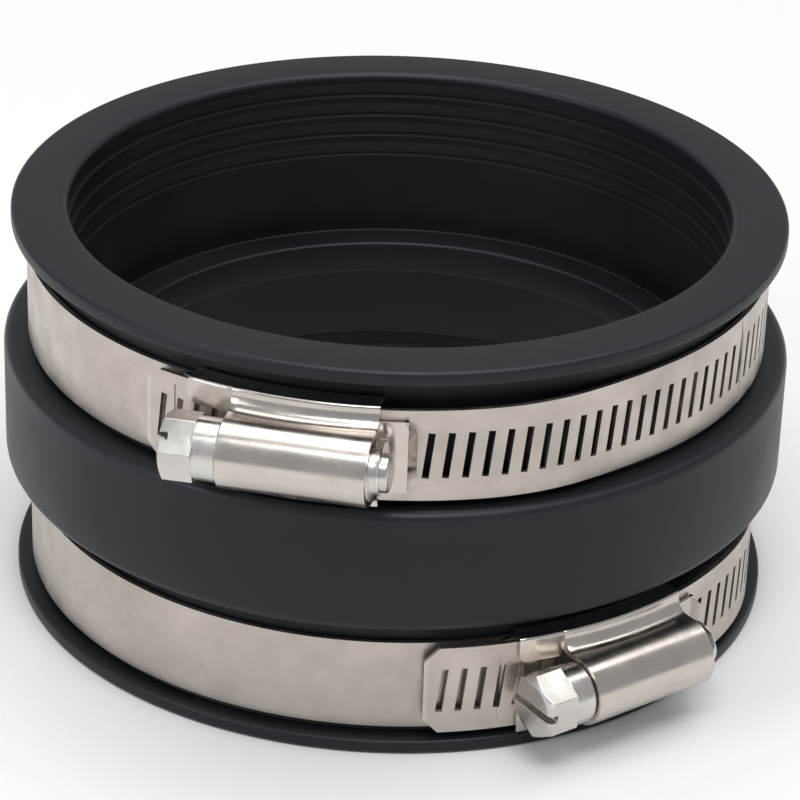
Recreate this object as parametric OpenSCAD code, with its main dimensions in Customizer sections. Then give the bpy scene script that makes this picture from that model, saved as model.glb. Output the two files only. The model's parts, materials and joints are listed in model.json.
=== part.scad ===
// Flexible rubber pipe coupling held by two worm-drive clamps.
// The bottom rim stands on z = 0 and the bore runs up +Z. Azimuth 0 is at -Y and grows towards +X.

/* [Sleeve] */
// Height of the rubber sleeve
sleeve_h = 55.7; // [46:0.1:80]
// Inside radius of the two pipe sockets
bore_r = 45.2; // [36:0.1:60]
// Rubber between a socket and the floor of its clamp groove
wall_t = 4.8; // [4:0.1:7]
// How far each lip stands out from the groove floor
lip_out = 3; // [2:0.1:5]
// Thickness of each lip
lip_t = 2; // [1.6:0.1:4]
// How far the middle belt stands out from the groove floor
belt_out = 4.3; // [2:0.1:7]
// Rounding of the belt's edges
belt_edge = 0.9; // [0.3:0.1:1.5]
// Rounding of the lips' outer edges
lip_edge = 0.6; // [0.2:0.1:0.7]
// Rounding of each socket's mouth
mouth_edge = 0.9; // [0.3:0.1:1.2]
// Play of a worm housing between its lip and the belt
groove_play = 2.8; // [1:0.1:5]

/* [Sealing ribs and pipe stop] */
// Sealing ribs in each socket
rib_n = 4; // [1:1:4]
// Depth of the first rib's ledge below the rim
rib_first = 3.6; // [3:0.1:4.5]
// Distance between ribs
rib_pitch = 3.15; // [3:0.05:3.6]
// Depth of the relief cut above each ledge
rib_relief = 0.7; // [0.3:0.05:1.2]
// Height of the relief cut above each ledge
rib_rise = 2.1; // [1:0.1:2.4]
// How far the pipe stop stands in from the socket wall
stop_in = 4.8; // [2:0.1:6]
// Height of the pipe stop
stop_h = 4.9; // [3:0.1:6]
// Rounding of the stop's two edges
stop_edge = 0.6; // [0.2:0.1:1]

/* [Clamp band] */
// Width of the clamp band
band_w = 12.7; // [12:0.1:16]
// Thickness of the clamp band
band_t = 0.65; // [0.5:0.01:0.8]
// Gap between the band and the rubber
band_gap = 0.3; // [0.3:0.05:1]
// Running gap between the layers that slide on each other
slide_gap = 0.1; // [0.05:0.01:0.2]
// Slots along the band
slot_n = 60; // [30:1:75]
// Width of a slot
slot_w = 0.9; // [0.8:0.01:1]
// Length of a slot
slot_len = 5.7; // [4.6:0.1:7]
// Distance from the tail's end to its first slot
tail_margin = 2.4; // [1.5:0.1:4]
// Chamfer on the tail's two corners
tail_chamfer = 2; // [0.5:0.1:3]
// How far the plain end reaches past the middle of the housing
plain_lap = 6; // [0:0.5:8]
// Stretch between the housing's middle and the place where the band steps down
step_from = 24; // [23:0.5:30]
// Length of the stretch in which the band steps down onto the rubber
step_len = 26; // [20:1:40]

/* [Worm housing] */
// Length of the pressed housing
housing_len = 19; // [18:0.1:21]
// Thickness of the housing sheet
sheet_t = 0.75; // [0.5:0.05:0.8]
// Radius of the flare between the dome and the flanges
flare_r = 2; // [1.2:0.1:2.4]
// Length of the two wings beside the collar
wing_len = 6; // [4:0.1:7]
// Distance from the screw's line to the edge of a wing
wing_in = 3.6; // [3:0.1:5]
// Length of the apron past the housing's open end
apron_len = 4.5; // [3:0.1:6]
// Width of the apron
apron_w = 10; // [8:0.1:11]
// Thickness of the apron
apron_t = 0.5; // [0.4:0.05:0.6]
// Chamfer on the apron's corners
apron_chamfer = 1.6; // [0.5:0.1:2.5]
// Thickness of the saddle
saddle_t = 0.7; // [0.5:0.05:0.9]
// How far the saddle reaches past the housing, under the screw head
saddle_tongue = 8.5; // [6:0.1:9]

/* [Worm screw] */
// Crest radius of the worm
worm_r = 3.8; // [3.4:0.05:4]
// Depth of the worm's thread
thread_depth = 0.9; // [0.6:0.05:1]
// Distance between turns of the worm, and between slots
worm_pitch = 2.54; // [2.4:0.01:2.8]
// Width of the thread at its crest
crest_w = 0.44; // [0.3:0.01:0.5]
// Growth of the thread's half width from crest to root
flank_w = 0.32; // [0.2:0.01:0.4]
// How far the worm bites into the band
worm_bite = 0.35; // [0.2:0.01:0.45]
// Running gap round the worm
worm_gap = 0.1; // [0.05:0.01:0.1]
// Radius of the collar
collar_r = 4.1; // [3.9:0.05:4.2]
// Length of the collar
collar_len = 3.4; // [2.5:0.1:4]
// Size of the hexagon head across its flats
hex_af = 8; // [7:0.1:8]
// Length of the hexagon head
hex_len = 4.2; // [3.5:0.1:5]
// Width of the driver slot
driver_w = 1; // [0.8:0.1:1.4]
// Depth of the driver slot
driver_depth = 1.3; // [0.8:0.1:2]
// How far the thread runs out of the housing's open end
thread_out = 1.3; // [0.5:0.1:1.4]
// How far the worm's tip stands past the thread
tip_out = 1.1; // [0.5:0.1:1.5]

/* [Place of the clamps] */
// Gap between each housing and the shelf it rests on
seat_gap = 0.2; // [0:0.05:0.5]
// Azimuth of the upper worm housing
upper_azimuth = -12; // [-180:1:180]
// Azimuth of the lower worm housing
lower_azimuth = 36; // [-180:1:180]
// Slots of the upper tail to the left of the housing's middle
upper_tail_slots = 8; // [7:1:14]
// Slots of the lower tail to the left of the housing's middle
lower_tail_slots = 10; // [7:1:14]
// Angle to which the upper screw is turned
upper_turn = -42; // [-180:1:180]
// Angle to which the lower screw is turned
lower_turn = 0; // [-180:1:180]

/* [Hidden] */
$fn = 96;

rubber = "#2b2d30";
steel = "#b9b0a8";
bright_steel = "#c9c4bd";

// Layers of a clamp, outwards from the rubber: plain band, saddle, slotted band, worm.
groove_r = bore_r + wall_t;
hoop_r = groove_r + band_gap;
saddle_r = hoop_r + band_t + slide_gap;
strip_r = saddle_r + saddle_t + slide_gap;
strip_out_r = strip_r + band_t;
screw_r = strip_out_r + worm_r - worm_bite;
mesh_r = strip_out_r - worm_bite / 2;

// Section of the housing
cavity_r = worm_r + worm_gap;
dome_r = cavity_r + sheet_t;
inner_w = band_w + 2 * slide_gap;
housing_w = inner_w + 2 * sheet_t;
roof_r = strip_out_r + slide_gap;
flange_r = roof_r + sheet_t;
foot_r = hoop_r + slide_gap;
half_len = housing_len / 2;

// Heights of the sleeve's grooves and clamps
groove_h = housing_w + groove_play;
belt_h = sleeve_h - 2 * (lip_t + groove_h);
belt_z = lip_t + groove_h;
lower_z = lip_t + seat_gap + housing_w / 2;
upper_z = belt_z + belt_h + seat_gap + housing_w / 2;

// The worm's lead, seen on the band, is the slant of the slots.
slot_slant = atan(worm_pitch / (2 * PI * (worm_r - worm_bite / 2)));

over = 1;         // how far a cutter runs past what it cuts, in mm or degrees
fuse = 0.3;       // how deep joined solids reach into each other
lap = 0.3;        // the same round a curve, in degrees
hair = 0.02;      // keeps joined faces from lying in one another
core_less = 0.4;  // how far the worm's necks lie inside its thread's root
head_chamfer = 0.5;
notch_w = 5.2;    // gap in the apron's root, under the worm
thread_steps = 12;
step_angle = step_len / mesh_r * 180 / PI;

// Angle round the sleeve of a distance along the band
function turn(t) = t / mesh_r * 180 / PI;

// A rectangle with rounded corners at its outer (b) and inner (a) radius
module ring_section(a, b, z0, z1, inner_edge, outer_edge) {
    translate([a + inner_edge, z0]) square([b - a - inner_edge - outer_edge, z1 - z0]);
    translate([a, z0 + inner_edge]) square([b - a, z1 - z0 - inner_edge - outer_edge]);
    translate([a, z0 + max(inner_edge, outer_edge)])
        square([b - a, z1 - z0 - 2 * max(inner_edge, outer_edge)]);
    for (z = [z0 + inner_edge, z1 - inner_edge])
        translate([a + inner_edge, z]) circle(inner_edge);
    for (z = [z0 + outer_edge, z1 - outer_edge])
        translate([b - outer_edge, z]) circle(outer_edge);
}

// Section of one half of the sleeve, from its rim at z = 0 up to mid-height
module half_sleeve_section() {
    mid = sleeve_h / 2;
    difference() {
        union() {
            translate([bore_r, 0]) square([wall_t, mid]);
            ring_section(bore_r + wall_t - lip_edge, groove_r + lip_out, 0, lip_t, 0.1, lip_edge);
            translate([groove_r - fuse, belt_z])
                square([belt_out - belt_edge + fuse, mid - belt_z]);
            translate([groove_r, belt_z + belt_edge])
                square([belt_out, mid - belt_z - belt_edge]);
            translate([groove_r + belt_out - belt_edge, belt_z + belt_edge]) circle(belt_edge);
            translate([bore_r - stop_in + stop_edge, mid - stop_h / 2])
                square([stop_in - stop_edge + fuse, stop_h / 2]);
            translate([bore_r - stop_in, mid - stop_h / 2 + stop_edge])
                square([stop_in, stop_h / 2 - stop_edge]);
            translate([bore_r - stop_in + stop_edge, mid - stop_h / 2 + stop_edge])
                circle(stop_edge);
        }
        mouth_cut();
        for (k = [0:rib_n - 1]) relief_cut(rib_first + k * rib_pitch);
    }
}

// Rounds the inner edge of a rim
module mouth_cut() {
    difference() {
        translate([bore_r - over, -over]) square(mouth_edge + over);
        translate([bore_r + mouth_edge, mouth_edge]) circle(mouth_edge);
    }
}

// Slanting relief that leaves a ledge facing the rim, at the given depth
module relief_cut(ledge) {
    polygon([
        [bore_r - over, ledge - rib_rise - over * rib_rise / rib_relief],
        [bore_r + rib_relief, ledge],
        [bore_r - over, ledge]
    ]);
}

module sleeve() {
    color(rubber) rotate_extrude() {
        half_sleeve_section();
        translate([0, sleeve_h]) mirror([0, 1]) half_sleeve_section();
    }
}

// Puts a clamp's piece at its height and azimuth
module at_clamp(height, azimuth) {
    translate([0, 0, height]) rotate([0, 0, azimuth]) children();
}

// Curved plate between two radii and two azimuths, centred on z = 0
module arc_plate(r0, r1, width, from, to) {
    rotate([0, 0, from - 90])
        rotate_extrude(angle = to - from)
            translate([r0, -width / 2]) square([r1 - r0, width]);
}

// Flat ring sector between two radii and two azimuths
module sector(r0, r1, from, to) {
    steps = ceil((to - from) / 45);
    intersection() {
        difference() {
            circle(r1);
            circle(r0);
        }
        polygon(concat(
            [[0, 0]],
            [for (i = [0:steps]) let (a = from + (to - from) * i / steps) 2 * r1 * [sin(a), -cos(a)]]
        ));
    }
}

// Outline of the band seen along the bore: tail, two arcs that step down without a kink, hoop
module band_outline(tail) {
    half = step_angle / 2;
    from = turn(step_from);
    to = from + step_angle;
    mid_r = (strip_r + hoop_r) / 2;
    near = (strip_r ^ 2 - mid_r ^ 2) / (2 * (strip_r - mid_r * cos(half)));
    far = (mid_r ^ 2 - hoop_r ^ 2) / (2 * (hoop_r - mid_r * cos(half)));
    near_sweep = atan2(mid_r * sin(half), mid_r * cos(half) - near);
    far_sweep = atan2(mid_r * sin(half), mid_r * cos(half) + far);
    sector(strip_r, strip_out_r, tail, from);
    translate(near * [sin(from), -cos(from)])
        sector(strip_r - near - hair, strip_out_r - near + hair, from - lap, from + near_sweep + lap);
    translate(-far * [sin(to), -cos(to)])
        sector(hoop_r + far + hair, hoop_r + band_t + far - hair, to - far_sweep, to + lap);
    sector(hoop_r, hoop_r + band_t, to, 360 + turn(plain_lap));
}

// One worm slot at a distance t along the band, cut outwards from radius floor_r
module slot_cut(t, floor_r) {
    depth = strip_out_r + over - floor_r;
    rotate([0, 0, turn(t)]) translate([0, -floor_r - depth / 2, 0])
        rotate([0, slot_slant, 0]) cube([slot_w, depth, slot_len], center = true);
}

// The band: slotted tail on top, a step down, slotted hoop, plain hoop under the tail
module band(tail_slots, screw_turn) {
    first = -worm_pitch * screw_turn / 360 - tail_slots * worm_pitch;
    tail = turn(first - tail_margin);
    difference() {
        linear_extrude(band_w, center = true) band_outline(tail);
        for (k = [0:slot_n - 1]) {
            t = first + k * worm_pitch;
            slot_cut(t, t < step_from ? strip_r - saddle_t / 2 : hoop_r - over);
        }
        for (side = [-1, 1])
            rotate([0, 0, tail]) translate([0, -strip_r, side * band_w / 2])
                rotate([0, 45, 0])
                    cube([tail_chamfer * sqrt(2), 2 * band_t, tail_chamfer * sqrt(2)], center = true);
    }
}

// Straight extrusion along the screw's line; the section's x runs outwards from the sleeve's axis
module along_screw(from, to) {
    mirror([0, 1, 0]) rotate([90, 0, 90]) translate([0, 0, from])
        linear_extrude(to - from) children();
}

// Section of the dome over the worm, flared where it meets the flanges
module dome_section() {
    base = flange_r * cos(turn(half_len));
    translate([screw_r, 0]) circle(dome_r);
    translate([hoop_r, -dome_r]) square([screw_r - hoop_r, 2 * dome_r]);
    for (side = [-1, 1])
        mirror([0, side < 0 ? 1 : 0])
            difference() {
                translate([base - fuse, dome_r - fuse]) square([flare_r + fuse, flare_r + fuse]);
                translate([base + flare_r, dome_r + flare_r]) circle(flare_r);
            }
}

// Room for the worm inside the dome
module cavity_section() {
    translate([screw_r, 0]) circle(cavity_r);
    translate([hoop_r, -cavity_r]) square([screw_r - hoop_r, 2 * cavity_r]);
}

// Apron that holds the incoming band down past the worm's tip
module apron() {
    end = turn(half_len + apron_len);
    root = turn(half_len - 2 * fuse);
    under = roof_r + hair;
    difference() {
        arc_plate(under, under + apron_t, apron_w, root, end);
        arc_plate(roof_r - over, roof_r + over, notch_w, root - over, turn(half_len + thread_out - 0.2));
        for (side = [-1, 1])
            rotate([0, 0, end]) translate([0, -roof_r, side * apron_w / 2])
                rotate([0, 45, 0])
                    cube([apron_chamfer * sqrt(2), 4 * apron_t, apron_chamfer * sqrt(2)], center = true);
    }
}

// Straight dome over a curved channel that runs on past the collar as two wings
module housing() {
    from = -turn(half_len + wing_len);
    to = turn(half_len);
    difference() {
        union() {
            along_screw(-half_len, half_len) dome_section();
            arc_plate(foot_r, flange_r, housing_w, from, to);
        }
        along_screw(-half_len - over, half_len + over) cavity_section();
        arc_plate(foot_r - over, roof_r, inner_w, from - over, to + over);
        arc_plate(foot_r - over, flange_r + over, 2 * wing_in, from - over, -turn(half_len));
    }
    apron();
}

module saddle() {
    arc_plate(saddle_r, saddle_r + saddle_t, inner_w, -turn(half_len + saddle_tongue), turn(half_len));
}

// Radius of the worm at an angle from the middle of its crest
function worm_profile(a) =
    let (
        off = abs(a) / 360 * worm_pitch,
        rise = (off - crest_w / 2) / flank_w
    )
    worm_r - thread_depth * min(1, max(0, rise));

// Helical thread along +Z from z = 0, with its crest at the given start angle
module thread(length, start) {
    crest_a = crest_w / 2 / worm_pitch * 360;
    root_a = crest_a + flank_w / worm_pitch * 360;
    angles = concat(
        [-crest_a, 0, crest_a, (crest_a + root_a) / 2],
        [for (i = [0:7]) root_a + (360 - 2 * root_a) * i / 7],
        [360 - (crest_a + root_a) / 2]
    );
    linear_extrude(
        height = length,
        twist = -360 * length / worm_pitch,
        slices = round(thread_steps * length / worm_pitch),
        $fn = len(angles)
    )
        rotate(start)
            polygon([
                for (a = angles)
                    let (r = worm_profile(a > 180 ? a - 360 : a))
                    [r * cos(a), r * sin(a)]
            ]);
}

// Worm screw along the line at screw_r, turned about its own axis
module screw(screw_turn) {
    collar_to = -half_len - worm_gap;
    head_to = collar_to - collar_len;
    head_from = head_to - hex_len;
    thread_from = -half_len + fuse;
    thread_to = half_len + thread_out;
    core_r = worm_r - thread_depth - core_less;
    hex_r = hex_af / 2 / cos(30);
    end_r = hex_af / 2 - head_chamfer;
    translate([0, -screw_r, 0]) rotate([screw_turn, 0, 0]) rotate([0, 90, 0]) {
        // slotted hexagon head with a chamfered end
        difference() {
            intersection() {
                translate([0, 0, head_from]) cylinder(h = hex_len + fuse, r = hex_r, $fn = 6);
                translate([0, 0, head_from])
                    cylinder(h = hex_len + 2 * fuse, r1 = end_r, r2 = end_r + 2 * (hex_len + 2 * fuse));
            }
            translate([-driver_w / 2, -hex_af, head_from - over])
                cube([driver_w, 2 * hex_af, driver_depth + over]);
        }
        translate([0, 0, head_to]) cylinder(h = collar_len, r = collar_r);
        // necks that join the thread to the collar and carry the tip
        translate([0, 0, collar_to - fuse]) cylinder(h = thread_from - collar_to + 2 * fuse, r = core_r);
        translate([0, 0, thread_to - fuse]) cylinder(h = tip_out + fuse, r = core_r);
        translate([0, 0, thread_from])
            thread(thread_to - thread_from, 90 + 360 * thread_from / worm_pitch);
    }
}

module upper_band() { color(steel) at_clamp(upper_z, upper_azimuth) band(upper_tail_slots, upper_turn); }
module upper_housing() { color(bright_steel) at_clamp(upper_z, upper_azimuth) housing(); }
module upper_saddle() { color(steel) at_clamp(upper_z, upper_azimuth) saddle(); }
module upper_screw() { color(bright_steel) at_clamp(upper_z, upper_azimuth) screw(upper_turn); }
module lower_band() { color(steel) at_clamp(lower_z, lower_azimuth) band(lower_tail_slots, lower_turn); }
module lower_housing() { color(bright_steel) at_clamp(lower_z, lower_azimuth) housing(); }
module lower_saddle() { color(steel) at_clamp(lower_z, lower_azimuth) saddle(); }
module lower_screw() { color(bright_steel) at_clamp(lower_z, lower_azimuth) screw(lower_turn); }

sleeve();
upper_band();
upper_housing();
upper_saddle();
upper_screw();
lower_band();
lower_housing();
lower_saddle();
lower_screw();
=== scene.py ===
import json
import math

import bpy
import numpy as np
from mathutils import Matrix, Vector


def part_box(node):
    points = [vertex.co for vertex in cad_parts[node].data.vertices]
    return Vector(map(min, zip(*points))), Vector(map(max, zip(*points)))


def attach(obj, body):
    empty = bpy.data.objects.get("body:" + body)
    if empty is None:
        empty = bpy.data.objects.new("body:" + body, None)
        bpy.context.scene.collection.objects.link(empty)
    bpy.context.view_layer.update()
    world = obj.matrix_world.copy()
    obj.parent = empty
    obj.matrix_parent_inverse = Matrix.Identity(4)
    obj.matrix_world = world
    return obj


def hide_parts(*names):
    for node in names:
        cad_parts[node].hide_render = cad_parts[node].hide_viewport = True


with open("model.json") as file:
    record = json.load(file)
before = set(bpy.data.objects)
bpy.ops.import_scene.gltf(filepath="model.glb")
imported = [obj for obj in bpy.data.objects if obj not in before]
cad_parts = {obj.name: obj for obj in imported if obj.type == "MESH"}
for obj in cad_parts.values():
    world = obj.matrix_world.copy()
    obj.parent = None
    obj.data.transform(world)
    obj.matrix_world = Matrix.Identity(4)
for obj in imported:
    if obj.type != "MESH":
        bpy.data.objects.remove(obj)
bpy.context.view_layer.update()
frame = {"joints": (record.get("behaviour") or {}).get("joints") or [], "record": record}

# ------------------------------------------------------------------ rubber sleeve
# One moulding of black synthetic rubber. Under each thin lip lies a groove for a clamp, and a thick
# belt stands between the grooves. Inside are four sealing ribs a side and a ring that stops pipes.

MM = 0.001
TOUCHING = 0.001 * MM


def rounded(corners, steps=5):
    """An outline's points, from (across, up, radius) corners, with an arc at each radius."""
    points = []
    for i, (x, y, radius) in enumerate(corners):
        here = Vector((x, y))
        if not radius:
            points.append(here)
            continue
        back = (Vector(corners[i - 1][:2]) - here).normalized()
        ahead = (Vector(corners[(i + 1) % len(corners)][:2]) - here).normalized()
        half = back.angle(ahead) / 2
        middle = here + (back + ahead).normalized() * radius / math.sin(half)
        start = here + back * radius / math.tan(half) - middle
        sweep = start.angle_signed(here + ahead * radius / math.tan(half) - middle)
        for k in range(steps + 1):
            turn = Matrix.Rotation(-sweep * k / steps, 2)
            points.append(middle + turn @ start)
    return points


def trace(name, points):
    """Draws a chain of edges in a new mesh and leaves it in edit mode."""
    bpy.ops.object.select_all(action="DESELECT")
    bpy.ops.mesh.primitive_plane_add(size=MM, location=points[0])
    bpy.ops.object.transform_apply(location=True, rotation=False, scale=False)
    drawn = bpy.context.object
    drawn.name = drawn.data.name = name
    bpy.ops.object.mode_set(mode="EDIT")
    bpy.ops.mesh.merge(type="CENTER")
    for a, b in zip(points, points[1:]):
        step = Vector(b) - Vector(a)
        bpy.ops.mesh.extrude_region_move(TRANSFORM_OT_translate={"value": step})
    return drawn


def weld(gap=TOUCHING):
    """Selects everything and merges the points that meet."""
    bpy.ops.mesh.select_all(action="SELECT")
    bpy.ops.mesh.remove_doubles(threshold=gap)


def close_up(gap=TOUCHING):
    """Merges points that meet, points the faces outwards and leaves edit mode."""
    weld(gap)
    bpy.ops.mesh.normals_make_consistent(inside=False)
    bpy.ops.object.mode_set(mode="OBJECT")


def pick(piece):
    """Makes this the one selected object."""
    bpy.ops.object.select_all(action="DESELECT")
    piece.select_set(True)
    bpy.context.view_layer.objects.active = piece


def apply_modifier(piece, kind, **settings):
    """Adds a modifier with these settings and applies it."""
    pick(piece)
    modifier = piece.modifiers.new(kind.title(), kind)
    for key, value in settings.items():
        setattr(modifier, key, value)
    bpy.ops.object.modifier_apply(modifier=modifier.name)


def smooth(piece, degrees):
    """Smooth shading that keeps edges sharper than this angle."""
    pick(piece)
    bpy.ops.object.shade_smooth_by_angle(angle=math.radians(degrees))


def even_normals(piece):
    """Lets the large faces set the shading, so that small bevels beside them leave no streaks."""
    apply_modifier(piece, "WEIGHTED_NORMAL", keep_sharp=True, weight=50)


def mark_edges(piece):
    """Keeps how far each point stands out, 0 to 1, as the attribute that the painted edge
    highlights follow.
    """
    gain = 3
    mesh = piece.data
    count = len(mesh.vertices)
    place, normal = np.empty(count * 3), np.empty(count * 3)
    mesh.vertices.foreach_get("co", place)
    mesh.vertices.foreach_get("normal", normal)
    place, normal = place.reshape(-1, 3), normal.reshape(-1, 3)
    ends = np.empty(len(mesh.edges) * 2, int)
    mesh.edges.foreach_get("vertices", ends)
    a, b = ends.reshape(-1, 2).T
    along = place[b] - place[a]
    along /= np.maximum(np.linalg.norm(along, axis=1), 1e-9)[:, None]
    total, hits = np.zeros(count), np.zeros(count)
    np.add.at(total, a, np.einsum("ij,ij->i", normal[a], -along))
    np.add.at(total, b, np.einsum("ij,ij->i", normal[b], along))
    np.add.at(hits, a, 1)
    np.add.at(hits, b, 1)
    bend = np.clip(total / np.maximum(hits, 1) * gain, 0, 1)
    edge = mesh.attributes.new("edge", "FLOAT", "POINT")
    edge.data.foreach_set("value", bend.astype(np.float32))


def node(tree, kind, values=None, **settings):
    """One shader node. Values are numbers or sockets for its inputs, settings its properties."""
    made = tree.nodes.new(kind)
    for key, value in settings.items():
        setattr(made, key, value)
    for key, value in (values or {}).items():
        if isinstance(value, bpy.types.NodeSocket):
            tree.links.new(value, made.inputs[key])
        else:
            made.inputs[key].default_value = value
    return made


def cloud(tree, where, scale, detail=3.0, rough=0.5):
    """Soft noise between 0 and 1."""
    values = {"Vector": where, "Scale": scale, "Detail": detail, "Roughness": rough}
    return node(tree, "ShaderNodeTexNoise", values).outputs["Fac"]


def between(tree, amount, low, high, from_low=0.3, from_high=0.7):
    """Stretches an amount to the range from low to high."""
    values = {0: amount, 1: from_low, 2: from_high, 3: low, 4: high}
    return node(tree, "ShaderNodeMapRange", values).outputs[0]


def tinted(tree, amount, first, second):
    """A colour between two, by an amount from 0 to 1."""
    mix = node(tree, "ShaderNodeMix", {0: amount}, data_type="RGBA")
    for socket, colour in ((mix.inputs[6], first), (mix.inputs[7], second)):
        if isinstance(colour, bpy.types.NodeSocket):
            tree.links.new(colour, socket)
        else:
            socket.default_value = (*colour, 1)
    return mix.outputs[2]


def new_material(name):
    """A new material with its node tree and its shader."""
    material = bpy.data.materials.new(name)
    material.use_nodes = True
    tree = material.node_tree
    shader = next(n for n in tree.nodes if n.type == "BSDF_PRINCIPLED")
    return material, tree, shader


def moulded_rubber():
    """Black rubber with fine grain from the mould, a cloudy bloom and a painted bluish highlight on
    its standing-out edges.
    """
    material, tree, shader = new_material("moulded rubber")
    where = node(tree, "ShaderNodeTexCoord").outputs["Object"]
    bloom = cloud(tree, where, 55, 5, 0.62)
    grain = cloud(tree, where, 3200, 3, 0.6)
    ripple = cloud(tree, where, 120, 2, 0.5)
    edge_highlight_mask = node(tree, "ShaderNodeAttribute", attribute_name="edge").outputs["Fac"]
    deep, bloomed = (0.004, 0.005, 0.0066), (0.0078, 0.0092, 0.0116)
    base = tinted(tree, between(tree, bloom, 0, 1), deep, bloomed)
    # Painted highlight: the standing-out edges are lightened to a pale bluish grey.
    edged = tinted(tree, between(tree, edge_highlight_mask, 0, 0.55, 0.08, 0.4), base, (0.022, 0.026, 0.032))
    tree.links.new(edged, shader.inputs["Base Color"])
    rough = between(tree, edge_highlight_mask, between(tree, bloom, 0.42, 0.54), 0.3, 0.08, 0.4)
    tree.links.new(rough, shader.inputs["Roughness"])
    fine = node(tree, "ShaderNodeBump", {"Strength": 0.35, "Distance": 0.00003, "Height": grain})
    wavy = node(
        tree,
        "ShaderNodeBump",
        {"Strength": 0.25, "Distance": 0.0002, "Height": ripple, "Normal": fine.outputs[0]},
    )
    tree.links.new(wavy.outputs[0], shader.inputs["Normal"])
    shader.inputs["Specular IOR Level"].default_value = 0.34
    shader.inputs["Specular Tint"].default_value = (0.9, 0.94, 1, 1)
    return material


sleeve_low, sleeve_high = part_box("sleeve")
sleeve_height = sleeve_high.z - sleeve_low.z
middle = sleeve_height / 2 / MM
belt_r = sleeve_high.x / MM
socket = next(m for m in frame["record"]["mounts"] if m["name"] == "upper_socket")
bore_r = socket["dims"]["r_mm"]
belt_out, lip_out, lip_t = 4.3, 3.0, 2.0
groove_r = belt_r - belt_out
lip_r = groove_r + lip_out
groove_depth = 19.2
stop_in, stop_half = 4.8, 2.45
stop_r = bore_r - stop_in
ledges = [13.05, 9.9, 6.75, 3.6]
ledge_cut, ledge_rise = 0.5, 2.1
sleeve_steps = 300

# The upper half's outline, from the stop ring's inside over the mouth and the lip to the belt.
outline = [(stop_r, 0, 0), (stop_r, stop_half, 0.5), (bore_r, stop_half, 0.25)]
for depth in ledges:
    up = middle - depth
    outline += [
        (bore_r, up, 0.1),
        (bore_r + ledge_cut, up, 0.1),
        (bore_r, up + ledge_rise, 0.3),
    ]
outline += [
    (bore_r, middle, 0.9),
    (lip_r, middle, 0.6),
    (lip_r, middle - lip_t, 0.4),
    (groove_r, middle - lip_t, 0.3),
    (groove_r, middle - groove_depth, 0.3),
    (belt_r, middle - groove_depth, 1.3),
    (belt_r, 0, 0),
]
points = [Vector((p.x, 0, p.y)) * MM for p in rounded(outline)]
merge = 0.002 * MM
sleeve = trace("rubber_sleeve", points)
bpy.ops.mesh.select_all(action="SELECT")
bpy.ops.mesh.spin(steps=sleeve_steps, angle=2 * math.pi, center=(0, 0, 0), axis=(0, 0, 1))
close_up(merge)
apply_modifier(sleeve, "MIRROR", use_axis=(False, False, True), merge_threshold=merge)
bpy.ops.transform.translate(value=(0, 0, sleeve_height / 2))
bpy.ops.object.transform_apply(location=True, rotation=False, scale=False)
bpy.ops.object.mode_set(mode="EDIT")
close_up(merge)
smooth(sleeve, 40)
mark_edges(sleeve)
sleeve.data.materials.append(moulded_rubber())
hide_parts("sleeve")
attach(sleeve, "sleeve")

# ------------------------------------------------------------------ slotted bands
# Each band is one strip of rolled stainless steel, punched with slanting slots. Its slotted tail
# runs through the housing over its own plain end, and past the housing it steps down to the rubber.


def clamp_place(side):
    """Where a clamp sits: its azimuth, its height and the screw's distance from the bore's axis."""
    joint = next(j for j in frame["joints"] if j["name"] == side + "_screw_turn")
    x, y, z = joint["pos_m"]
    return math.atan2(x, -y), z, math.hypot(x, y)


def out(azimuth, radius=1.0, up=0.0):
    """A point at an azimuth, in radians, and a radius in a clamp's own frame."""
    return Vector((radius * math.sin(azimuth), -radius * math.cos(azimuth), up))


def put_in_place(piece, side):
    """Moves a piece from its clamp's own frame to its place on the sleeve."""
    azimuth, height, _ = clamp_place(side)
    place = Matrix.Translation((0, 0, height)) @ Matrix.Rotation(azimuth, 4, "Z")
    piece.matrix_world = place @ piece.matrix_world
    pick(piece)
    bpy.ops.object.transform_apply(location=True, rotation=True, scale=True)


def spin_on(azimuth, centre=(0, 0, 0), step=math.radians(1.2)):
    """Carries the selected end of a strip on round a centre."""
    steps = max(2, round(abs(azimuth) / step))
    bpy.ops.mesh.spin(steps=steps, angle=-azimuth, center=centre, axis=(0, 0, 1))


def cap_ends():
    """Fills the open ends."""
    bpy.ops.mesh.select_all(action="DESELECT")
    bpy.ops.mesh.select_mode(type="EDGE")
    bpy.ops.mesh.select_non_manifold(extend=False, use_wire=False)
    bpy.ops.mesh.fill_holes(sides=0)
    bpy.ops.mesh.select_mode(type="VERT")


def join(pieces, name):
    """Joins pieces into the first one."""
    bpy.ops.object.select_all(action="DESELECT")
    for piece in pieces:
        piece.select_set(True)
    bpy.context.view_layer.objects.active = pieces[0]
    bpy.ops.object.join()
    bpy.ops.object.transform_apply(location=True, rotation=True, scale=True)
    pieces[0].name = pieces[0].data.name = name
    return pieces[0]


def cut_away(piece, cutter, operation="DIFFERENCE"):
    """Cuts one piece with another, which is then thrown away."""
    apply_modifier(piece, "BOOLEAN", object=cutter, operation=operation, solver="EXACT")
    bpy.data.objects.remove(cutter)


def break_edges(piece, width, degrees, segments=2):
    """Rounds every edge sharper than this angle."""
    limit = {"limit_method": "ANGLE", "angle_limit": math.radians(degrees)}
    apply_modifier(piece, "BEVEL", width=width * MM, segments=segments, **limit)


def cutting_block(size, place, turn=(0, 0, 0)):
    """A block to cut with."""
    bpy.ops.object.select_all(action="DESELECT")
    bpy.ops.mesh.primitive_cube_add(size=1)
    block = bpy.context.object
    block.scale = size
    bpy.ops.object.transform_apply(location=False, rotation=False, scale=True)
    block.rotation_euler = turn
    block.location = place
    return block


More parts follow.
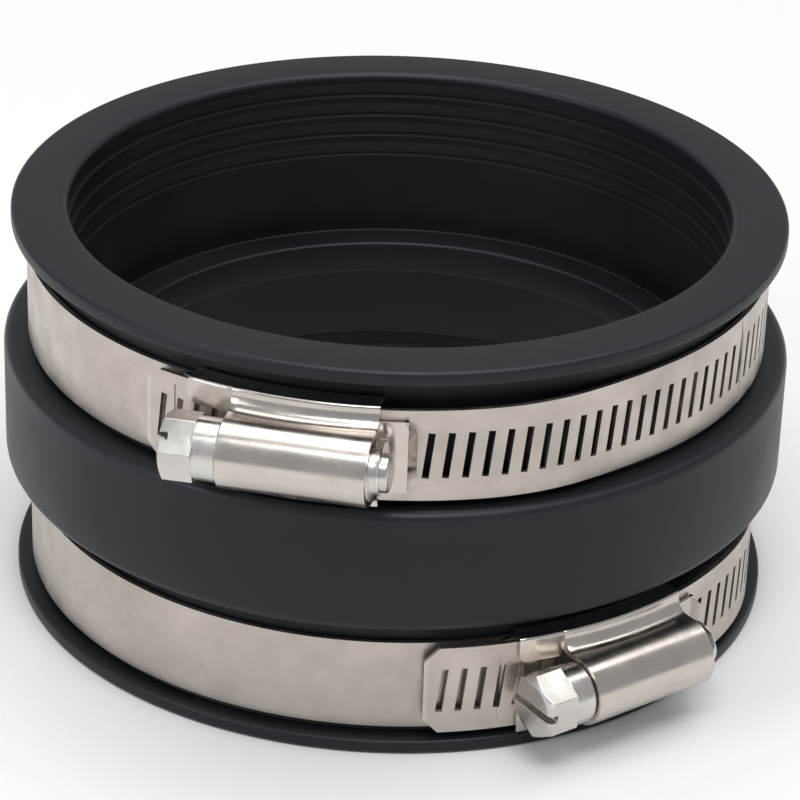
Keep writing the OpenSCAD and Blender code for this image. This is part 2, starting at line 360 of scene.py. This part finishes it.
def steel_marks():
    """The lines a roll or a lathe leaves and the cloudiness of handled steel."""
    group = bpy.data.node_groups.new("steel marks", "ShaderNodeTree")
    for name, kind, direction in (
        ("Grain Place", "NodeSocketVector", "INPUT"),
        ("Cloud Place", "NodeSocketVector", "INPUT"),
        ("Lines", "NodeSocketFloat", "OUTPUT"),
        ("Clouds", "NodeSocketFloat", "OUTPUT"),
        ("Smears", "NodeSocketFloat", "OUTPUT"),
    ):
        group.interface.new_socket(name=name, in_out=direction, socket_type=kind)
    given = node(group, "NodeGroupInput")
    fine = cloud(group, given.outputs["Grain Place"], 1, 3, 0.65)
    clouds = cloud(group, given.outputs["Cloud Place"], 90, 4, 0.6)
    smears = cloud(group, given.outputs["Cloud Place"], 260, 3, 0.55)
    node(group, "NodeGroupOutput", {"Lines": fine, "Clouds": clouds, "Smears": smears})
    return group


STEEL_MARKS = steel_marks()


def steel(name, turned, stretch, light, dark, rough, line_depth, wave_depth):
    """Bare steel whose grain is stretched along one direction of a frame turned about Z, with a
    painted highlight on its edges.
    """
    material, tree, shader = new_material(name)
    where = node(tree, "ShaderNodeTexCoord").outputs["Object"]
    turn_back = {"Vector": where, "Rotation": (0, 0, -turned)}
    flat = node(tree, "ShaderNodeMapping", turn_back).outputs[0]
    along = node(tree, "ShaderNodeMapping", {"Vector": flat, "Scale": stretch}).outputs[0]
    marks = node(tree, "ShaderNodeGroup", {}, node_tree=STEEL_MARKS)
    tree.links.new(along, marks.inputs["Grain Place"])
    tree.links.new(where, marks.inputs["Cloud Place"])
    lines, clouds, smears = marks.outputs
    edge_highlight_mask = node(tree, "ShaderNodeAttribute", attribute_name="edge").outputs["Fac"]
    body = tinted(tree, between(tree, clouds, 0, 1, 0.35, 0.7), light, dark)
    lined = tinted(tree, between(tree, lines, 0, 0.35, 0.35, 0.65), body, dark)
    # Painted highlight: the standing-out edges are lightened towards a pale near-white.
    bright = tinted(tree, between(tree, edge_highlight_mask, 0, 0.8, 0.34, 0.8), lined, (0.86, 0.83, 0.79))
    tree.links.new(bright, shader.inputs["Base Color"])
    shader.inputs["Metallic"].default_value = 1.0
    patchy = between(tree, smears, rough * 0.8, rough * 1.35, 0.35, 0.7)
    tree.links.new(patchy, shader.inputs["Roughness"])
    fine = node(tree, "ShaderNodeBump", {"Strength": 0.5, "Distance": line_depth, "Height": lines})
    wavy = node(
        tree,
        "ShaderNodeBump",
        {"Strength": 0.5, "Distance": wave_depth, "Height": clouds, "Normal": fine.outputs[0]},
    )
    tree.links.new(wavy.outputs[0], shader.inputs["Normal"])
    return material


band_low, band_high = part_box("upper_band")
band_w = (band_high.z - band_low.z) / MM
band_t, clearance = 0.65, 0.1
hoop_r = -band_low.x / MM - band_t
saddle_r, saddle_t = hoop_r + band_t + clearance, 0.7
strip_r = saddle_r + saddle_t + clearance
strip_top = strip_r + band_t
pitch, half_bite = 2.54, 0.175
meshing_r = strip_top - half_bite
step_from, step_sweep = 24 / meshing_r, 26 / meshing_r
slot_w, slot_len, slot_slant = 0.9, 6.4, math.radians(6.36)
slot_count = 60
tail_margin, tail_chamfer = 2.4, 2
sliver = 0.012 * MM
plain_lap = 6 / meshing_r
TAILS = {"upper": (8, -42), "lower": (10, 0)}


def slotted_band(side):
    """One band in its clamp's own frame, drawn from the tail's end round to the plain end."""
    slots, screw_turn = TAILS[side]
    first = -pitch * screw_turn / 360 - slots * pitch
    tail = (first - tail_margin) / meshing_r
    half = step_sweep / 2
    step_to = step_from + step_sweep
    mid_r = (strip_r + hoop_r) / 2
    near = (strip_r**2 - mid_r**2) / (2 * (strip_r - mid_r * math.cos(half)))
    far = (mid_r**2 - hoop_r**2) / (2 * (hoop_r - mid_r * math.cos(half)))
    near_sweep = math.atan2(mid_r * math.sin(half), mid_r * math.cos(half) - near)
    far_sweep = math.atan2(mid_r * math.sin(half), mid_r * math.cos(half) + far)
    w = band_w / 2
    section = ((strip_r, -w), (strip_top, -w), (strip_top, w), (strip_r, w))
    corners = [out(tail, r, z) * MM for r, z in section]
    band = trace(side + "_clamp_band", [*corners, corners[0]])
    weld()
    spin_on(step_from - tail)
    spin_on(near_sweep, out(step_from, near) * MM)
    spin_on(far_sweep, out(step_to, -far) * MM)
    spin_on(2 * math.pi + plain_lap - step_to)
    cap_ends()
    close_up()
    cutters = []
    for k in range(slot_count):
        t = first + k * pitch
        azimuth = t / meshing_r
        floor_r = strip_r - saddle_t / 2 if t < step_from * meshing_r else hoop_r - 1
        depth = strip_top + 1 - floor_r
        turn = Matrix.Rotation(azimuth, 3, "Z") @ Matrix.Rotation(slot_slant, 3, "Y")
        size = Vector((slot_w, depth, slot_len)) * MM
        place = out(azimuth, floor_r + depth / 2) * MM
        cutters.append(cutting_block(size, place, turn.to_euler()))
    for end in (-1, 1):
        turn = Matrix.Rotation(tail, 3, "Z") @ Matrix.Rotation(math.radians(45), 3, "Y")
        side_len = tail_chamfer * math.sqrt(2)
        size = Vector((side_len, 2 * band_t, side_len)) * MM
        place = out(tail, strip_r, end * w) * MM
        cutters.append(cutting_block(size, place, turn.to_euler()))
    cut_away(band, join(cutters, "slot cutters"))
    bpy.ops.object.mode_set(mode="EDIT")
    close_up(sliver)
    break_edges(band, 0.07, 40)
    put_in_place(band, side)
    smooth(band, 35)
    even_normals(band)
    mark_edges(band)
    return band


for side in ("upper", "lower"):
    band = slotted_band(side)
    rolled = steel(
        side + " rolled strip",
        turned=0,
        stretch=(35, 35, 5200),
        light=(0.59, 0.53, 0.48),
        dark=(0.47, 0.42, 0.375),
        rough=0.4,
        line_depth=0.00001,
        wave_depth=0.00006,
    )
    band.data.materials.append(rolled)
    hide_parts(side + "_band")
    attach(band, side + "_band")

# ------------------------------------------------------------------ saddles
# A curved plate under each housing keeps the worm's push off the rubber. The housing's walls hold
# it at both sides, and its tongue runs on under the screw's head.

half_len = 9.5
tongue = 8.5
passage_w = band_w + 2 * clearance
tip_round = 1.6
NEAR, NEAR_ANGLE = 1e-7, 1e-4


def round_corners(piece, wanted, offset, segments):
    """Bevels the edges that the test picks by their two ends."""
    pick(piece)
    bpy.ops.object.mode_set(mode="EDIT")
    bpy.ops.mesh.select_all(action="DESELECT")
    bpy.ops.object.mode_set(mode="OBJECT")
    for edge in piece.data.edges:
        a, b = (piece.data.vertices[i].co for i in edge.vertices)
        edge.select = wanted(a, b)
    bpy.ops.object.mode_set(mode="EDIT")
    bpy.ops.mesh.select_mode(type="EDGE")
    bpy.ops.mesh.bevel(offset=offset, segments=segments, affect="EDGES")
    bpy.ops.mesh.select_mode(type="VERT")
    bpy.ops.object.mode_set(mode="OBJECT")


def curved_sheet(name, outline, start, end):
    """Sheet of a given section, as (across, radius) corners, carried from azimuth to azimuth."""
    corners = [out(start, h, w) * MM for w, h in outline]
    made = trace(name, [*corners, corners[0]])
    weld()
    spin_on(end - start)
    cap_ends()
    close_up()
    return made


def across_tip(a, b, azimuth):
    """Whether an edge's two ends lie at an azimuth, one above the other."""
    at_azimuth = all(abs(math.atan2(p.x, -p.y) - azimuth) < NEAR_ANGLE for p in (a, b))
    return at_azimuth and abs(a.z - b.z) < NEAR


def saddle_plate(side):
    """One saddle, drawn from its tongue's tip to its other end."""
    w, top = passage_w / 2, saddle_r + saddle_t
    start, end = -(half_len + tongue) / meshing_r, half_len / meshing_r
    section = [(-w, saddle_r), (-w, top), (w, top), (w, saddle_r)]
    plate = curved_sheet(side + "_saddle_plate", section, start, end)
    round_corners(plate, lambda a, b: across_tip(a, b, start), tip_round * MM, 5)
    break_edges(plate, 0.08, 50)
    put_in_place(plate, side)
    smooth(plate, 35)
    even_normals(plate)
    mark_edges(plate)
    return plate


for side in ("upper", "lower"):
    plate = saddle_plate(side)
    azimuth = clamp_place(side)[0]
    plain = steel(
        side + " saddle steel",
        turned=azimuth,
        stretch=(60, 60, 3000),
        light=(0.60, 0.55, 0.505),
        dark=(0.46, 0.415, 0.38),
        rough=0.34,
        line_depth=0.00001,
        wave_depth=0.00008,
    )
    plate.data.materials.append(plain)
    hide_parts(side + "_saddle")
    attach(plate, side + "_clamp")

# ------------------------------------------------------------------ worm housings
# Pressed from one sheet of bright stainless steel: a straight dome over the worm, flared into
# flanges that follow the band, two wings beside the screw's collar and an apron that holds the
# band down.

sheet = 0.75
screw_r = clamp_place("upper")[2] / MM
dome_r = 4.65
flange_r = strip_top + clearance + sheet
flange_w = passage_w / 2 + sheet
foot_r = hoop_r + clearance
flare, fold = 2.05, 0.45
wing_len, wing_in, wing_lap, wing_round = 6.0, 3.6, 0.5, 1.2
apron_len, apron_w, apron_t, apron_lap, apron_chamfer = 4.5, 10.0, 0.5, 0.6, 1.6
notch_at, notch_w = 8.6, 5.2
hairline = 0.0001 * MM


def dome_shell(name):
    """The dome and its flanges: the sheet's outline, carried along the screw and settled down."""
    top = screw_r + dome_r
    outer = [
        (flange_w, foot_r, 0),
        (flange_w, flange_r, fold),
        (dome_r, flange_r, flare),
        (dome_r, top, dome_r - 0.001),
    ]
    s = sheet
    inner = [
        (flange_w - s, foot_r, 0),
        (flange_w - s, flange_r - s, 0.1),
        (dome_r - s, flange_r - s, flare + s - 0.9),
        (dome_r - s, top - s, dome_r - s - 0.001),
    ]
    loop = outer + [(-w, h, r) for w, h, r in reversed(outer)]
    loop += [(-w, h, r) for w, h, r in inner] + list(reversed(inner))
    points = [Vector((-half_len, -p.y, p.x)) * MM for p in rounded(loop, 9)]
    shell = trace(name, [*points, points[0]])
    weld()
    stations = 16
    for _ in range(stations):
        step = (2 * half_len / stations * MM, 0, 0)
        bpy.ops.mesh.extrude_region_move(TRANSFORM_OT_translate={"value": step})
    cap_ends()
    close_up()
    for v in shell.data.vertices:
        if -v.co.y < (screw_r - 0.05) * MM:
            r = flange_r * MM
            v.co.y += r - math.sqrt(r * r - v.co.x * v.co.x)
    return shell


def wing(sign):
    """The flange carried on beside the collar, a hair inside the dome's own where they join."""
    hair = 0.03
    outer, top = flange_w - hair, flange_r - hair
    inner, under, foot = flange_w - sheet, flange_r - sheet, foot_r + hair
    corners = [
        (outer, foot, 0),
        (outer, top, fold),
        (wing_in, top, 0),
        (wing_in, under, 0),
        (inner, under, 0),
        (inner, foot, 0),
    ]
    section = [(p.x * sign, p.y) for p in rounded(corners)]
    start, end = -(half_len + wing_len) / meshing_r, -(half_len - wing_lap) / meshing_r
    made = curved_sheet("wing", section, start, end)

    def tip_corner(a, b):
        return across_tip(a, b, start) and abs(abs(a.z) - wing_in * MM) < 10 * NEAR

    round_corners(made, tip_corner, wing_round * MM, 5)
    return made


def apron():
    """The tongue of sheet past the housing's far end, with a notch for the worm's tip."""
    low = flange_r - sheet + 0.02
    high = low + apron_t
    w = apron_w / 2
    start, end = (half_len - apron_lap) / meshing_r, (half_len + apron_len) / meshing_r
    made = curved_sheet("apron", [(-w, low), (-w, high), (w, high), (w, low)], start, end)

    round_corners(made, lambda a, b: across_tip(a, b, end), apron_chamfer * MM, 1)
    notch = Vector((notch_at, -flange_r, 0)) * MM
    cut_away(made, cutting_block(Vector((4, 4, notch_w)) * MM, notch))
    return made


for side in ("upper", "lower"):
    housing = join([dome_shell("dome"), wing(1), wing(-1), apron()], side + "_worm_housing")
    bpy.ops.object.mode_set(mode="EDIT")
    close_up(hairline)
    break_edges(housing, 0.12, 50)
    put_in_place(housing, side)
    smooth(housing, 32)
    even_normals(housing)
    mark_edges(housing)
    azimuth = clamp_place(side)[0]
    bright = steel(
        side + " bright sheet",
        turned=azimuth,
        stretch=(90, 1400, 1400),
        light=(0.63, 0.575, 0.525),
        dark=(0.51, 0.46, 0.415),
        rough=0.21,
        line_depth=0.000005,
        wave_depth=0.0001,
    )
    housing.data.materials.append(bright)
    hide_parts(side + "_housing")
    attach(housing, side + "_clamp")

# ------------------------------------------------------------------ worm screws
# Each screw is turned and rolled from one bar: a slotted hexagon head, a round collar that bears on
# the housing's end, and a worm whose thread runs in the band's slots.

hex_af, hex_len, head_chamfer = 8.0, 4.2, 0.5
collar_r, collar_len = 4.1, 3.4
driver_w, driver_depth = 1.0, 1.3
worm_r, root_r = 3.8, 2.9
crest_w, flank_w = 0.44, 0.32
thread_out, tip_out = 1.3, 1.1
collar_to = -half_len - clearance
head_to = collar_to - collar_len
head_from = head_to - hex_len
thread_from, thread_to = -half_len + 0.3, half_len + thread_out


def turned(name, profile):
    """A solid of revolution about Z from an outline of (radius, up, rounding) corners."""
    points = [Vector((p.x, 0, p.y)) * MM for p in rounded(profile, 4)]
    made = trace(name, points)
    bpy.ops.mesh.select_all(action="SELECT")
    bpy.ops.mesh.spin(steps=72, angle=2 * math.pi, center=(0, 0, 0), axis=(0, 0, 1))
    close_up()
    return made


def hexagon_head():
    """The head, turned to a bevelled end, with a slot for a flat driver."""
    depth = hex_len + 0.3
    bpy.ops.object.select_all(action="DESELECT")
    bpy.ops.mesh.primitive_cylinder_add(
        vertices=6,
        radius=hex_af / 2 / math.cos(math.radians(30)) * MM,
        depth=depth * MM,
        location=(0, 0, (head_from + depth / 2) * MM),
    )
    head = bpy.context.object
    bpy.ops.object.transform_apply(location=True, rotation=False, scale=False)
    end_r, cone_len = hex_af / 2 - head_chamfer, depth + 0.5
    cone_to = head_from + cone_len
    cone = [
        (0, head_from, 0),
        (end_r, head_from, 0),
        (end_r + 2 * cone_len, cone_to, 0),
        (0, cone_to, 0),
    ]
    cut_away(head, turned("head limit", cone), "INTERSECT")
    size = Vector((3 * hex_af, driver_w, driver_depth + 1)) * MM
    slot = Vector((0, 0, head_from + (driver_depth - 1) / 2)) * MM
    cut_away(head, cutting_block(size, slot))
    break_edges(head, 0.16, 25, segments=3)
    return head


def worm_thread():
    """One pitch of the worm's outline, wound up its length and trimmed square at both ends."""
    turns = math.ceil((thread_to - thread_from) / pitch) + 2
    low = math.floor(thread_from / pitch) - 1
    start = (low - 0.5) * pitch
    half_crest, half_root = crest_w / 2, crest_w / 2 + flank_w
    mid = start + pitch / 2
    outline = [
        (root_r, start, 0),
        (root_r, mid - half_root, 0.15),
        (worm_r, mid - half_crest, 0.1),
        (worm_r, mid + half_crest, 0.1),
        (root_r, mid + half_root, 0.15),
        (root_r, start + pitch, 0),
    ]
    points = [Vector((p.x, 0, p.y)) * MM for p in rounded(outline, 2)]
    thread = trace("thread", points)
    bpy.ops.object.mode_set(mode="OBJECT")
    apply_modifier(
        thread,
        "SCREW",
        axis="Z",
        angle=2 * math.pi,
        screw_offset=pitch * MM,
        iterations=turns,
        steps=48,
        render_steps=48,
        use_merge_vertices=True,
        merge_threshold=TOUCHING,
    )
    bpy.ops.object.mode_set(mode="EDIT")
    weld()
    for height, outer in ((thread_from, False), (thread_to, True)):
        bpy.ops.mesh.select_all(action="SELECT")
        bpy.ops.mesh.bisect(
            plane_co=(0, 0, height * MM),
            plane_no=(0, 0, 1),
            use_fill=True,
            clear_inner=not outer,
            clear_outer=outer,
            threshold=NEAR,
        )
    close_up()
    return thread


for side in ("upper", "lower"):
    core = turned("core", [
        (0, head_to - 0.2, 0),
        (collar_r - 0.3, head_to - 0.2, 0.1),
        (collar_r, head_to + 0.2, 0.15),
        (collar_r, collar_to, 0.3),
        (root_r - 0.4, collar_to, 0.2),
        (root_r - 0.4, thread_to + tip_out, 0.45),
        (0, thread_to + tip_out, 0),
    ])
    screw = join([core, hexagon_head(), worm_thread()], side + "_worm_screw")
    spun = Matrix.Rotation(math.radians(TAILS[side][1]), 4, "X")
    lay = Matrix.Rotation(math.radians(90), 4, "Y") @ Matrix.Rotation(math.radians(90), 4, "Z")
    screw.matrix_world = Matrix.Translation((0, -screw_r * MM, 0)) @ spun @ lay
    put_in_place(screw, side)
    smooth(screw, 38)
    even_normals(screw)
    mark_edges(screw)
    azimuth = clamp_place(side)[0]
    machined = steel(
        side + " machined steel",
        turned=azimuth,
        stretch=(4200, 120, 120),
        light=(0.72, 0.69, 0.65),
        dark=(0.54, 0.505, 0.47),
        rough=0.25,
        line_depth=0.00001,
        wave_depth=0.00003,
    )
    screw.data.materials.append(machined)
    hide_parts(side + "_screw")
    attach(screw, side + "_screw")

# ------------------------------------------------------------------ table, light and camera
# A plain white table, one large soft light overhead and a weak fill, as in a small product studio.

bpy.ops.object.select_all(action="DESELECT")
bpy.ops.mesh.primitive_plane_add(size=6)
table = bpy.context.object
table.name = "table"
paper, _, paper_shader = new_material("white table")
paper_shader.inputs["Base Color"].default_value = (0.86, 0.855, 0.845, 1)
paper_shader.inputs["Roughness"].default_value = 0.9
paper_shader.inputs["Specular IOR Level"].default_value = 0.1
table.data.materials.append(paper)


def soft_light(name, place, aim, size, power, colour):
    """A rectangular area light that faces a point."""
    lamp = bpy.data.lights.new(name, "AREA")
    lamp.shape, lamp.size, lamp.size_y = "RECTANGLE", size[0], size[1]
    lamp.energy, lamp.color = power, colour
    light = bpy.data.objects.new(name, lamp)
    bpy.context.collection.objects.link(light)
    light.location = place
    light.rotation_euler = (Vector(aim) - Vector(place)).to_track_quat("-Z", "Y").to_euler()


soft_light("overhead", (0.1, 0.25, 1.5), (0, 0, 0.03), (1.5, 1.2), 12, (1, 0.99, 0.98))
soft_light("front_glow", (0.05, -0.6, 1.15), (0, 0, 0.03), (0.8, 0.25), 6, (0.94, 0.97, 1))
soft_light("left_fill", (-0.7, -0.45, 0.45), (0, 0, 0.03), (0.35, 0.5), 1.6, (0.95, 0.97, 1))

world = bpy.data.worlds.new("studio")
world.use_nodes = True
sky = world.node_tree.nodes["Background"]
sky.inputs["Color"].default_value = (0.93, 0.96, 1, 1)
sky.inputs["Strength"].default_value = 0.48
bpy.context.scene.world = world
bpy.context.scene.view_settings.view_transform = "Standard"

lip = lip_r * MM
target = Vector((0, 0, sleeve_height - 0.5 * lip))
elevation, roll = math.radians(26.85), math.radians(1.93)
distance = 9.0207 * lip
ahead = Vector((0, math.cos(elevation), -math.sin(elevation)))
across = Vector((1, 0, 0))
above = across.cross(ahead)
right = across * math.cos(roll) + above * math.sin(roll)
up = above * math.cos(roll) - across * math.sin(roll)
eye = bpy.data.cameras.new("camera")
eye.sensor_width, eye.lens = 36, 36 * 3410.3 / 800
eye.shift_x, eye.shift_y = 5.27 / 800, -29.3 / 800
camera = bpy.data.objects.new("camera", eye)
bpy.context.collection.objects.link(camera)
turn = Matrix((right, up, -ahead)).transposed()
camera.matrix_world = Matrix.Translation(target - ahead * distance) @ turn.to_4x4()
bpy.context.scene.camera = camera
